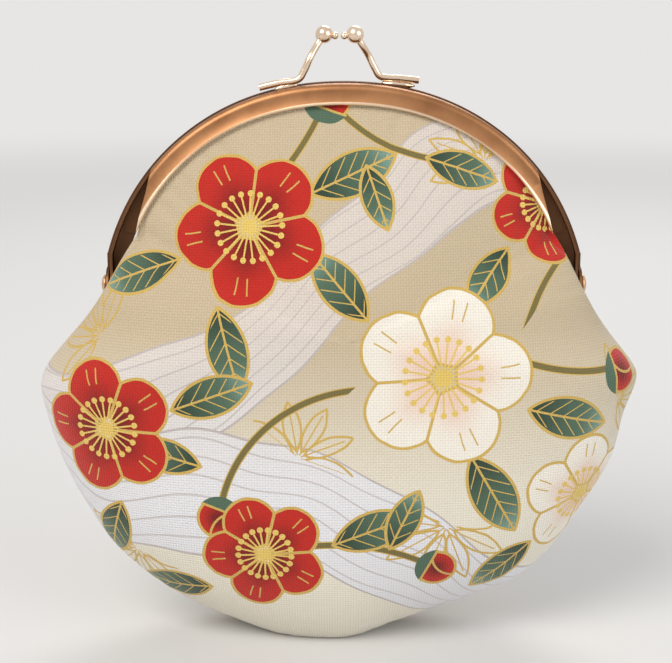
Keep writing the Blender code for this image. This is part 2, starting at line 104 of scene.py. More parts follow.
class Wire:
    """A shader socket that takes part in Python expressions: each operator adds the Math node for it."""

    def __init__(self, nodes, socket):
        self.nodes, self.socket = nodes, socket

    def output(self, out):
        """Another output of the same node."""
        return Wire(self.nodes, self.socket.node.outputs[out])

    def maths(self, operation, *values):
        return self.nodes.node("ShaderNodeMath", {"operation": operation}, dict(enumerate(values)))

    def __add__(self, other):
        return self.maths("ADD", self, other)

    def __radd__(self, other):
        return self.maths("ADD", other, self)

    def __sub__(self, other):
        return self.maths("SUBTRACT", self, other)

    def __rsub__(self, other):
        return self.maths("SUBTRACT", other, self)

    def __mul__(self, other):
        return self.maths("MULTIPLY", self, other)

    def __rmul__(self, other):
        return self.maths("MULTIPLY", other, self)

    def __truediv__(self, other):
        return self.maths("DIVIDE", self, other)

    def __rtruediv__(self, other):
        return self.maths("DIVIDE", other, self)

    def __pow__(self, other):
        return self.maths("POWER", self, other)

    def __abs__(self):
        return self.maths("ABSOLUTE", self)

    def __lt__(self, other):
        return self.maths("LESS_THAN", self, other)

    def __gt__(self, other):
        return self.maths("GREATER_THAN", self, other)

    def fraction(self):
        return self.maths("FRACT", self)

    def cosine(self):
        return self.maths("COSINE", self)

    def sine(self):
        return self.maths("SINE", self)

    def least(self, other):
        return self.maths("MINIMUM", self, other)

    def most(self, other):
        return self.maths("MAXIMUM", self, other)

    def spread(self, low, high, start=0.0, end=1.0):
        """Ease from start to end while this goes from low to high."""
        return self.nodes.node("ShaderNodeMapRange", {"interpolation_type": "SMOOTHSTEP"},
                               {"Value": self, "From Min": low, "From Max": high,
                                "To Min": start, "To Max": end})


OBJECT_PLACE = 3            # the Texture Coordinate node's Object output


class Nodes:
    """A tree of shader nodes and the few ways in which one is added to it."""

    def __init__(self, tree):
        self.tree = tree

    def feed(self, node, sockets):
        for socket, value in sockets.items():
            if isinstance(value, Wire):
                self.tree.links.new(value.socket, node.inputs[socket])
            else:
                node.inputs[socket].default_value = value

    def node(self, kind, settings=None, sockets=None, out=0):
        """Add a node: its settings first, then the values or links of its sockets."""
        made = self.tree.nodes.new(kind)
        for setting, value in (settings or {}).items():
            setattr(made, setting, value)
        self.feed(made, sockets or {})
        return Wire(self, made.outputs[out]) if made.outputs else None

    def noise(self, place, scale, detail=2.0, roughness=0.5):
        return self.node("ShaderNodeTexNoise", {}, {"Vector": place, "Scale": scale, "Detail": detail,
                                                    "Roughness": roughness})

    def paint(self, under, over, mask):
        """Colour over laid on colour under where the mask is 1."""
        return self.node("ShaderNodeMix", {"data_type": "RGBA"}, {0: mask, 6: under, 7: over}, out=2)

    def bump(self, height, distance, strength=1.0):
        return self.node("ShaderNodeBump", {}, {"Strength": strength, "Distance": distance, "Height": height})


class Finish(Nodes):
    """A surface finish: one Principled shader, and the nodes that vary it."""

    def __init__(self, name, **sockets):
        self.material = bpy.data.materials.new(name)
        self.material.use_nodes = True
        super().__init__(self.material.node_tree)
        self.shader = self.tree.nodes["Principled BSDF"]
        self.set(**sockets)

    def set(self, **sockets):
        self.feed(self.shader, {socket.replace("_", " "): value for socket, value in sockets.items()})


def gold_plate(name, light, deep, rough, polished=0.0, inside=None, lip_highlight=None):
    """Light gold plate over polished steel: a faint mottle of tarnish, the buffing wheel's fine lines, and
    where asked a painted shade near the parting plane and a painted highlight on the lip.
    """
    finish = Finish(name, Metallic=1.0)
    place = finish.node("ShaderNodeTexCoord", out=OBJECT_PLACE)
    mottle = finish.noise(place, 90.0, 4.0, 0.6)
    along = finish.node("ShaderNodeVectorMath", {"operation": "MULTIPLY"}, {0: place, 1: BUFFING})
    lines = finish.noise(along, 1.0, 2.0)
    colour = finish.paint(deep, light, mottle.spread(0.3, 0.62))
    roughness = rough + mottle * 0.08 + lines * 0.06
    if inside:
        across = finish.node("ShaderNodeSeparateXYZ", {}, {0: place})
        depth, height = across.output(1), across.output(2)
        # Painted shade: near the parting plane the plate is darkened towards the inside colour, and made
        # rougher.
        inside_shade = abs(depth).spread(*INSIDE_SHADE_DEPTHS, 1.0, 0.0)
        colour, roughness = finish.paint(colour, inside, inside_shade), roughness + inside_shade * 0.12
        # Painted highlight: the lip's bead is painted pale, the pale band widening towards its lower ends,
        # and made smoother.
        up = height - arc_height
        reach = (abs(across) ** ARC_SQUARENESS + abs(up) ** ARC_SQUARENESS) ** (1 / ARC_SQUARENESS)
        reach = reach - up.spread(*LIP_SPREAD_HEIGHTS, LIP_SPREAD, 0.0)
        lip = ARC_RADIUS - CHANNEL_BAND
        lip_glint = reach.spread(lip + LIP_BEAD, lip + 2 * LIP_BEAD, 1.0, 0.0)
        lip_glint = lip_glint * (1 - inside_shade)
        colour, roughness = finish.paint(colour, lip_highlight, lip_glint), roughness - lip_glint * 0.1
    finish.set(Base_Color=colour, Roughness=roughness,
               Normal=finish.bump(lines * (1 - polished) + mottle * 0.6, PLATE_RELIEF))
    return finish.material


def ease(low, high, value):
    t = np.clip((value - low) / (high - low), 0, 1)
    return t * t * (3 - 2 * t)


def arc_radius(outside, inset, angle):
    """Distance from the arc's centre, at an angle from the top, of what lies this far inside the arc."""
    squareness = np.abs(np.sin(angle)) ** ARC_SQUARENESS + np.abs(np.cos(angle)) ** ARC_SQUARENESS
    narrowing = 1 - BAND_NARROWING * ease(0, radians(60), np.abs(angle))
    return outside * squareness ** (-1 / ARC_SQUARENESS) - inset * narrowing


def angle_across(outside, across):
    """Angle at which the outside of the arc is this far across."""
    angle = asin(across / outside)
    for _ in range(8):
        angle = asin(across / arc_radius(outside, 0, angle))
    return angle


def arc_point(radius, angle, depth, centre):
    return Vector((radius * sin(angle), depth, centre + radius * cos(angle)))


def shape_arc(bm, outside, centre):
    """Move the points of a truly round channel out to the arc's real shape."""
    for vert in bm.verts:
        across, up = vert.co.x, vert.co.z - centre
        angle = atan2(across, up)
        vert.co = arc_point(arc_radius(outside, outside - hypot(across, up), angle), angle, vert.co.y, centre)


def round_points(radius, start, end, steps, middle=(0.0, 0.0)):
    """Points of an arc, the angle counted from the first axis towards the second."""
    angles = np.linspace(start, end, steps)
    return [(middle[0] + radius * cos(a), middle[1] + radius * sin(a)) for a in angles]


def channel_section(outside):
    """Closed section of one half as (radius, depth from the parting plane), with the rolled lip."""
    near, far = HALF_GAP, HALF_GAP + CHANNEL_DEPTH
    bend = (outside - OUTER_BEND, far - OUTER_BEND)
    bead = (outside - CHANNEL_BAND + LIP_BEAD, far + LIP_ROLL - LIP_BEAD)
    lip_start = asin((far - bead[1]) / LIP_BEAD)
    lip_end = 2 * pi - asin((bead[1] - far + STRIP) / LIP_BEAD)
    web = [(outside - STRIP, near), (outside, near), (outside, near + STRAP_DEPTH)]
    outer = round_points(OUTER_BEND, 0, pi / 2, 9, bend)
    outer += round_points(LIP_BEAD, lip_start, lip_end, 13, bead)
    inner = round_points(OUTER_BEND - STRIP, pi / 2, 0, 6, bend)
    inner += [(outside - STRIP, near + STRAP_DEPTH), (outside - STRIP, near + STRIP)]
    flange = [(outside - INNER_FLANGE, near + STRIP), (outside - INNER_FLANGE, near)]
    return web + outer + inner + flange


def turned(bm, face, centre, turn, steps):
    """Draw a face out about the arc's centre line."""
    bmesh.ops.spin(bm, geom=[face, *face.edges, *face.verts], cent=(0, 0, centre), axis=(0, 1, 0), angle=turn,
                   steps=steps, use_merge=False, use_duplicate=False)


def draw_out_strap(bm, side, mirror, outside, centre, reach):
    """Run the web on past one end of the channel, from its own part of the end face."""
    near, far = side * HALF_GAP, side * (HALF_GAP + STRAP_DEPTH)
    inside = outside - STRIP
    ends = [face for face in bm.faces if len(face.verts) > 4]
    end = max(ends, key=lambda face: mirror * face.verts[0].co.x)

    def corner(radius, depth):
        place = arc_point(radius, mirror * CHANNEL_SPAN, depth, centre)
        return min(end.verts, key=lambda vert: (vert.co - place).length)

    outer_corner = corner(outside, near)
    for cut in (((inside, near), (inside, near + side * STRIP)), ((inside, far), (outside, far))):
        other = bmesh.utils.face_split(end, *[corner(*place) for place in cut])[0]
        end = end if outer_corner in end.verts[:] else other
    turned(bm, end, centre, mirror * (reach - CHANNEL_SPAN), 12)


def flat_plate(name, outlines, thickness, place, turn):
    """Plate of the given outlines in its own plane, the later ones holes, then turned and put in place."""
    curve = bpy.data.curves.new(name, "CURVE")
    curve.dimensions, curve.fill_mode, curve.extrude = "2D", "BOTH", thickness / 2
    for points in outlines:
        spline = curve.splines.new("POLY")
        spline.use_cyclic_u = True
        spline.points.add(len(points) - 1)
        for point, (x, y) in zip(spline.points, points):
            point.co = (x, y, 0, 1)
    drawn = bpy.data.objects.new(name, curve)
    bm = bmesh.new()
    bm.from_mesh(bpy.data.meshes.new_from_object(drawn))
    bpy.data.objects.remove(drawn)
    bmesh.ops.remove_doubles(bm, verts=bm.verts, dist=0.000001)
    bm.transform(Matrix.Translation(place) @ Euler(turn).to_matrix().to_4x4())
    return bm


def ear_plate(name, side, mirror, ear_face, neck):
    """Flat ear: a disc about the hinge with its rivet hole, and a neck that swells up to the strap."""
    near, far = HALF_GAP + JOIN_STEP, HALF_GAP + STRAP_DEPTH - JOIN_STEP
    start, end = pi / 2 - asin(near / EAR_RADIUS), pi / 2 - asin(far / EAR_RADIUS)
    outline = round_points(EAR_RADIUS, start, end + 2 * pi, 41) + [(far, neck), (near, neck)]
    hole = round_points(RIVET_HOLE, 0, 2 * pi, 33)[1:]
    outlines = [[(side * y, z) for y, z in points] for points in (outline, hole)]
    place = (mirror * (ear_face - STRIP / 2), 0, hinge.z)
    return flat_plate(name, outlines, STRIP, place, (pi / 2, 0, pi / 2))


def flange_plate(name, side, mirror, outside, centre, ear_face, foot_height):
    """The inner flange's run past the channel's end: it follows the strap and narrows towards the ear."""
    angles = np.linspace(CHANNEL_SPAN - radians(3), angle_across(outside, ear_face) - radians(1), 12)
    outer = [arc_point(arc_radius(outside, STRIP / 2, a), a, 0, 0) for a in angles]
    inner = [arc_point(arc_radius(outside, INNER_FLANGE - JOIN_STEP, a), a, 0, 0) for a in angles[::-1]]
    edge = ear_face - STRIP / 2
    foot = [(edge, 0, foot_height - centre), (edge - FLANGE_FOOT, 0, foot_height - centre)]
    outline = [(mirror * x, z) for x, _, z in outer + foot + inner]
    place = (0, side * (HALF_GAP + STRIP / 2), centre)
    return flat_plate(name, [outline], STRIP - 4 * JOIN_STEP, place, (pi / 2, 0, 0))


def flange_end_cutter(name, side, mirror):
    """What is cut off the outer flange's end: a corner that leaves the lip running on to a point."""
    outline = [(FLANGE_CUT[0][0], 2 * ARC_RADIUS), *FLANGE_CUT, (2 * ARC_RADIUS, FLANGE_CUT[-1][1]),
               (2 * ARC_RADIUS, 2 * ARC_RADIUS)]
    depth = HALF_GAP + STRAP_DEPTH + JOIN_STEP + CHANNEL_DEPTH / 2
    return flat_plate(name, [[(mirror * x, z) for x, z in outline]], CHANNEL_DEPTH,
                      (0, side * depth, arc_height), (pi / 2, 0, 0))


def into_object(name, bm, material, smooth=40):
    """Make an object of a bmesh, shaded smooth except across edges sharper than the angle."""
    bmesh.ops.recalc_face_normals(bm, faces=bm.faces)
    mesh = bpy.data.meshes.new(name)
    bm.to_mesh(mesh)
    bm.free()
    mesh.shade_smooth()
    mesh.set_sharp_from_angle(angle=radians(smooth))
    mesh.materials.append(material)
    piece = bpy.data.objects.new(name, mesh)
    bpy.context.scene.collection.objects.link(piece)
    return piece


def cut_or_join(piece, bm, operation):
    """Cut another shape out of a piece, or join it on."""
    other = into_object(piece.name + "_other", bm, piece.data.materials[0])
    modifier = piece.modifiers.new(operation, "BOOLEAN")
    modifier.operation, modifier.object = operation, other
    with bpy.context.temp_override(object=piece, active_object=piece):
        bpy.ops.object.modifier_apply(modifier=modifier.name)
    bpy.data.objects.remove(other)


def frame_half(name, side, outside, centre, ear_face, foot_height, material):
    bm = bmesh.new()
    verts = [bm.verts.new(arc_point(r, -CHANNEL_SPAN, side * y, centre)) for r, y in channel_section(outside)]
    turned(bm, bm.faces.new(verts), centre, 2 * CHANNEL_SPAN, ARC_STEPS)
    reach = angle_across(outside, ear_face - JOIN_STEP)
    for mirror in (-1, 1):
        draw_out_strap(bm, side, mirror, outside, centre, reach)
    shape_arc(bm, outside, centre)
    half = into_object(name, bm, material, BEND_ANGLE)
    neck = centre + ear_face / tan(reach) + EAR_LAP - hinge.z
    for mirror in (-1, 1):
        cut_or_join(half, flange_end_cutter(name, side, mirror), "DIFFERENCE")
        cut_or_join(half, flange_plate(name, side, mirror, outside, centre, ear_face, foot_height), "UNION")
        cut_or_join(half, ear_plate(name, side, mirror, ear_face, neck), "UNION")
    rounding = half.modifiers.new("rounded edges", "BEVEL")
    rounding.width, rounding.segments, rounding.angle_limit = EDGE_ROUND, 2, radians(BEND_ANGLE)
    rounding.use_clamp_overlap = True
    return half


# The frame's colours are the plate's own gold made darker, a painted shade for the dark that its flanges
# reflect. The inside colour is a deeper painted shade, and the lip colour a painted highlight.
frame_gold = gold_plate("frame_gold", tone(170, 122, 84), tone(148, 102, 68), 0.36, inside=tone(106, 74, 52),
                        lip_highlight=tone(240, 214, 184))
front_ear = ARC_RADIUS * sin(EAR_ANGLE)
HALVES = (("front", -1, ARC_RADIUS, arc_height, front_ear, hinge.z + HEAD_RADIUS + RUNNING_GAP),
          ("back", 1, back_radius, back_height, front_ear + ear_step, hinge.z + EAR_RADIUS + RUNNING_GAP))
for label, side, outside, centre, ear_face, foot_height in HALVES:
    half = frame_half(label + "_frame_half", side, outside, centre, ear_face, foot_height, frame_gold)
    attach(half, label + "_jaw")
    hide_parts(label + "_frame")

# Hinge rivets. Turned steel pins, plated with the frame. The domed head is outside the back half's ear, and
# the tail is peened over inside the front half's ear.
HEAD_HEIGHT = 0.0008
PIN_RADIUS = 0.0008


def rivet(name, mirror, material):
    outer = front_ear + ear_step + RUNNING_GAP
    inner = front_ear - STRIP - RUNNING_GAP
    dome = np.linspace(0, pi / 2, 9)
    profile = [(HEAD_RADIUS * sin(a), outer + HEAD_HEIGHT * cos(a)) for a in dome]
    profile += [(PIN_RADIUS, outer), (PIN_RADIUS, inner)]
    profile += [(HEAD_RADIUS * cos(a), inner - HEAD_HEIGHT * sin(a)) for a in dome]
    mesh = bpy.data.meshes.new(name)
    mesh.from_pydata([(r, 0, x) for r, x in profile], [(i, i + 1) for i in range(len(profile) - 1)], [])
    pin = bpy.data.objects.new(name, mesh)
    bpy.context.scene.collection.objects.link(pin)
    mesh.materials.append(material)
    pin.location = hinge
    pin.rotation_euler = (0, mirror * pi / 2, 0)
    lathe = pin.modifiers.new("lathe", "SCREW")
    lathe.steps = lathe.render_steps = 40
    lathe.use_merge_vertices, lathe.merge_threshold = True, 0.000005
    return pin


rivet_gold = gold_plate("rivet_gold", tone(220, 180, 142), tone(200, 156, 116), 0.2)
for label, mirror in (("left", -1), ("right", 1)):
    pin = rivet(label + "_rivet_turned", mirror, rivet_gold)
    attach(pin, "back_jaw")
    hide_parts(label + "_rivet")

# Outer panels. Two round pieces of printed plain-weave cotton with a soft interlining, sewn together along
# the sides and the base and turned right side out. Their tops are gathered a little and glued into the
# channels.
CLOTH = 0.0006
CLOTH_GAP = 0.0003
HALF_DEPTH = 0.017
LOW_BULGE = 0.25            # how much fuller the pouch is towards its base
TUCK = 0.0022               # less the steel, how far inside the arc the cloth's edge lies
END_TUCK = 0.0011           # how much less is tucked in where the flange narrows to a point
FLANGE_END = (radians(49), radians(58))
SHOULDERS = ((0.0367, 0.0168), (0.0374, 0.0168))    # left and right, across and up from the arc's centre
LEFT_HIP = (0.0569, -0.0096)
RIGHT_HIP = (0.0541, -0.0087)
HIP_SHARPNESS = (26.0, 60.0)                        # left and right, as is the next
SIDE_BOW = (0.0017, 0.0014)
# Seam lines: degrees from the top, and millimetres from the arc's centre.
LEFT_SEAM = ((90, 57.0), (100, 56.6), (106, 56.3), (115, 56.9), (125, 57.6), (134, 58.7), (147, 58.8),
             (160, 58.6), (170, 59.5), (180, 59.4))
RIGHT_SEAM = ((90, 54.6), (99, 54.2), (107, 53.1), (116, 54.6), (127, 54.8), (138, 56.3), (146, 57.0),
              (154, 55.8), (163, 55.4), (172, 56.6), (180, 59.4))
SEAM_SMOOTHING = 13
BASE_RADIUS = 0.0595
SEAM_HALF = 0.00012
SEAM_HEM = 0.0005
EAR_CLEARANCE = 0.0004
LINING = 0.0004
TOP_FULLNESS = 1.6
SIDE_FULLNESS = 3.4
LEAVING = radians(6)        # over which the cloth leaves the channel
ROUNDED = (radians(54), radians(104))   # where the panel turns from drawn in to rounded over
JOINED = (radians(80), radians(94))     # where the two panels come together at the seam
PLEAT, PUCKER, DENT = 0.00022, 0.00016, 0.0004          # how far the cloth stands proud
PLEAT_REACH, FOLD_REACH, PUCKER_REACH = 0.006, 0.015, 0.004     # in from the edge
DENT_PLACE, DENT_REACH = 0.024, 0.014
SECTORS = 480
RINGS = 64
HEM_ROWS = 4
MILLIMETRE = 0.001


def seam_radius(turn):
    """Distance of the sewn edge from the arc's centre: a few measures joined by a smooth curve."""
    away = np.degrees(np.abs(turn))
    left, right = (np.interp(away, *zip(*seam)) for seam in (LEFT_SEAM, RIGHT_SEAM))
    measured = np.where(turn < 0, left, right)
    spread = np.exp(-np.linspace(-2, 2, SEAM_SMOOTHING) ** 2)
    wrapped = np.concatenate([measured[-SEAM_SMOOTHING:], measured, measured[:SEAM_SMOOTHING]])
    return np.convolve(wrapped, spread / spread.sum(), "same")[SEAM_SMOOTHING:-SEAM_SMOOTHING] * MILLIMETRE


def untucked(turn):
    return END_TUCK * ease(*FLANGE_END, np.abs(turn))


def pouch_edge(turn):
    """Distance of the panel's edge from the arc's centre: in the channel, then side, hip and base."""
    left = turn < 0
    across, up = (np.where(left, a, b) for a, b in zip(*SHOULDERS))
    hip_across, hip_up = (np.where(left, a, b) for a, b in zip(LEFT_HIP, RIGHT_HIP))
    sharpness, bow = np.where(left, *HIP_SHARPNESS), np.where(left, *SIDE_BOW)
    away = np.abs(turn)
    slope = (hip_across - across) / (hip_up - up)
    side = (across - slope * up) / np.maximum(np.sin(away) - slope * np.cos(away), 0.01)
    down = np.clip((away - CHANNEL_SPAN) / (np.arctan2(hip_across, hip_up) - CHANNEL_SPAN), 0, 1)
    side = side - bow * np.sin(pi * down**1.5)
    free = (side**-sharpness + seam_radius(turn)**-sharpness) ** (-1 / sharpness)
    held = arc_radius(ARC_RADIUS, TUCK - STRIP + untucked(turn), turn)
    return held + (free - held) * ease(CHANNEL_SPAN - LEAVING, CHANNEL_SPAN, away)


def edge_depth(turn, inset):
    """Distance of the panel's edge from the parting plane."""
    away = np.abs(turn)
    in_channel = HALF_GAP + CHANNEL_DEPTH - STRIP - CLOTH_GAP - inset
    before_ear = EAR_RADIUS + EAR_CLEARANCE + LINING + CLOTH_GAP + CLOTH - inset
    depth = in_channel + (before_ear - in_channel) * ease(CHANNEL_SPAN, CHANNEL_SPAN + LEAVING, away)
    return depth + (SEAM_HALF + inset * 0.3 - depth) * ease(*JOINED, away)


def waves(turn, counts, phases):
    """Irregular gathers round the edge: a few sines that don't repeat together, from -1 to 1."""
    return sum(np.sin(count * turn + phase) for count, phase in zip(counts, phases)) / len(counts)


def panel_surface(side, inset):
    """Points of one panel as rows from its middle to its edge, and each point's place on the flat cloth."""
    turn = np.linspace(-pi, pi, SECTORS + 1)[:-1]
    away = np.abs(turn)
    edge = pouch_edge(turn) - inset
    free = ease(CHANNEL_SPAN, CHANNEL_SPAN + LEAVING, away)
    hem_height = (CHANNEL_BAND - TUCK + STRIP + CLOTH_GAP - untucked(turn)) * (1 - free)
    start = edge_depth(turn, inset)
    rows = []
    for share in 1 - (1 - np.linspace(0, 1, RINGS)) ** 1.5:
        radius = (edge - hem_height) * share
        up = radius * np.cos(turn)
        fullest = (HALF_DEPTH - inset) * (1 + LOW_BULGE * (np.minimum(up, 0) / BASE_RADIUS) ** 2)
        weight = ease(*ROUNDED, away)
        full = (1 - share**TOP_FULLNESS) * (1 - weight) + (1 - share**SIDE_FULLNESS) ** 0.5 * weight
        base = start + SEAM_HEM * free
        depth = base + (fullest - base) * full
        from_edge = (edge - hem_height) * (1 - share)
        proud = gathers(turn, from_edge, free, side) * (1 - inset / 0.003)
        depth = depth + proud * ease(0, 0.0012, from_edge)
        rows.append(np.stack([radius * np.sin(turn), side * depth, arc_height + up], axis=1))
    for step in range(1, HEM_ROWS + 1):
        radius = edge - hem_height * (1 - step / HEM_ROWS)
        up = radius * np.cos(turn)
        depth = start + SEAM_HEM * free * (1 - step / HEM_ROWS)
        rows.append(np.stack([radius * np.sin(turn), side * depth, arc_height + up], axis=1))
    points = np.array(rows)
    points[:, :, 2] = np.maximum(points[:, :, 2], inset)
    steps = np.linalg.norm(np.diff(points, axis=0), axis=2)
    reach = np.concatenate([np.zeros((1, SECTORS)), np.cumsum(steps, axis=0)])
    flat = np.stack([reach * np.sin(turn), reach * np.cos(turn)], axis=2)
    return points, flat


def gathers(turn, from_edge, free, side):
    """How far the cloth stands proud: puckers along its edge, and a few soft dents over the face."""
    def within(reach, middle=0.0):
        return np.exp(-(((from_edge - middle) / reach) ** 2))

    pleats = waves(turn, (47, 61, 83), (0.4 * side, 1.9, 3.1)) * within(PLEAT_REACH)
    folds = waves(turn, (17, 23, 29), (2.2, 0.3 * side, 4.4)) * within(FOLD_REACH)
    seam = waves(turn, (71, 97, 113), (1.2, 2.9 * side, 0.2)) * within(PUCKER_REACH)
    dents = waves(turn, (3, 5), (0.9 * side, 2.6)) * within(DENT_REACH, DENT_PLACE)
    return (1 - free) * (pleats * PLEAT + folds * PLEAT) + free * seam * PUCKER + dents * DENT


def sewn_panel(name, side, inset, thickness, material, flat_turn):
    """One whole panel as a sheet with thickness, its flat place kept on every point."""
    points, flat = panel_surface(side, inset)
    count = points.shape[0]
    bm = bmesh.new()
    place = bm.verts.layers.float_vector.new("cut_place")
    middle = bm.verts.new(points[0].mean(axis=0))
    middle[place] = (0, 0, 0)
    rings = []
    for row in range(1, count):
        ring = []
        for point, (u, v) in zip(points[row], flat[row]):
            vert = bm.verts.new(point)
            vert[place] = (side * -(u * cos(flat_turn) - v * sin(flat_turn)) / MILLIMETRE,
                           (u * sin(flat_turn) + v * cos(flat_turn)) / MILLIMETRE, 0)
            ring.append(vert)
        rings.append(ring)
    for i in range(SECTORS):
        j = (i + 1) % SECTORS
        bm.faces.new((middle, rings[0][i], rings[0][j]))
        for a, b in zip(rings, rings[1:]):
            bm.faces.new((a[i], b[i], b[j], a[j]))
    panel = into_object(name, bm, material, smooth=75)
    if side * sum(face.normal.y * face.area for face in panel.data.polygons) < 0:
        panel.data.flip_normals()
    shell = panel.modifiers.new("thickness", "SOLIDIFY")
    shell.thickness, shell.offset = thickness, -1
    return panel


GOLD_LINE = tone(212, 178, 96)
STAMEN = tone(232, 200, 108)
# The second ground colour is painted light: the cloth's lower part is painted paler.
GROUND, GROUND_PAINTED_LIGHT = tone(204, 186, 156), tone(238, 232, 216)
# The second stream colour is painted light, for the streams' paler lower parts.
STREAM, STREAM_PAINTED_LIGHT, STREAM_LINE = tone(222, 211, 201), tone(234, 234, 238), tone(196, 186, 184)
TWIG = tone(124, 112, 66)
RED, DEEP_RED = tone(196, 40, 28), tone(122, 24, 20)
WHITE, BLUSH = tone(246, 240, 228), tone(240, 208, 190)
LEAF, DEEP_LEAF, LEAF_TIP = tone(84, 110, 90), tone(48, 66, 52), tone(140, 176, 164)
OUTLINE = 0.27              # half the gold line's width, in millimetres on the cloth
THREAD_PITCH = 0.48
WEAVE_RELIEF = 0.00007
# Where the motifs lie: each row holds what the method of Print that draws it takes, turns in degrees.
STREAMS = ((0, 12, 0.55, 7, 10, 4), (0, -38, -0.35, 6, 11, 30))
BLOSSOMS = (
    (-17, 20, 14, 12, RED, DEEP_RED),
    (17, -6, 15.5, 40, WHITE, BLUSH),
    (-42, -16, 12.5, 70, RED, DEEP_RED),
    (38, 24, 11, 20, RED, DEEP_RED),
    (-14, -38, 11, 5, RED, DEEP_RED),
    (44, -30, 12, 50, WHITE, BLUSH),
    (-46, 24, 8, 30, WHITE, BLUSH),
)
LEAVES = (
    (-6, 26, 17, 25), (-30, 14, 15, 200), (-22, 6, 15, 285), (4, 4, 15, 130), (32, -12, 16, -15),
    (22, -20, 17, -60), (-30, -12, 15, 20), (-40, -30, 15, 250), (-24, -46, 15, 190), (-2, -36, 15, 20),
    (30, 16, 13, 230), (48, 16, 13, -40), (34, -38, 14, 220), (15, 32.5, 14, -18), (4, 31, 12, -72),
    (-25, -22, 13, 165), (8, -37, 12, 65),
)
BUDS = ((-3, 43.5, 4.2, 70), (51, -7, 3.8, 5), (-22, -31.5, 3.7, 250), (16.5, -41.5, 3.5, -25))
STEMS = (
    (-52, 62, 52, -52, -22), (4, -34, 26, 96, 172), (46, 40, 46, -122, -85), (-2, -70, 34, 60, 112),
    (20, 60, 28, 196, 262), (-60, -60, 48, 52, 76), (60, -8, 30, 126, 158),
)
SPRAYS = (
    (26, 32, 11, 120, 9, 95), (-44, 0, 11, 150, 9, 100), (18, -33, 12, 250, 9, 110),
    (-38, -40, 11, 230, 9, 110), (50, -12, 10, 20, 9, 100), (-8, -20, 10, 60, 9, 80),
)


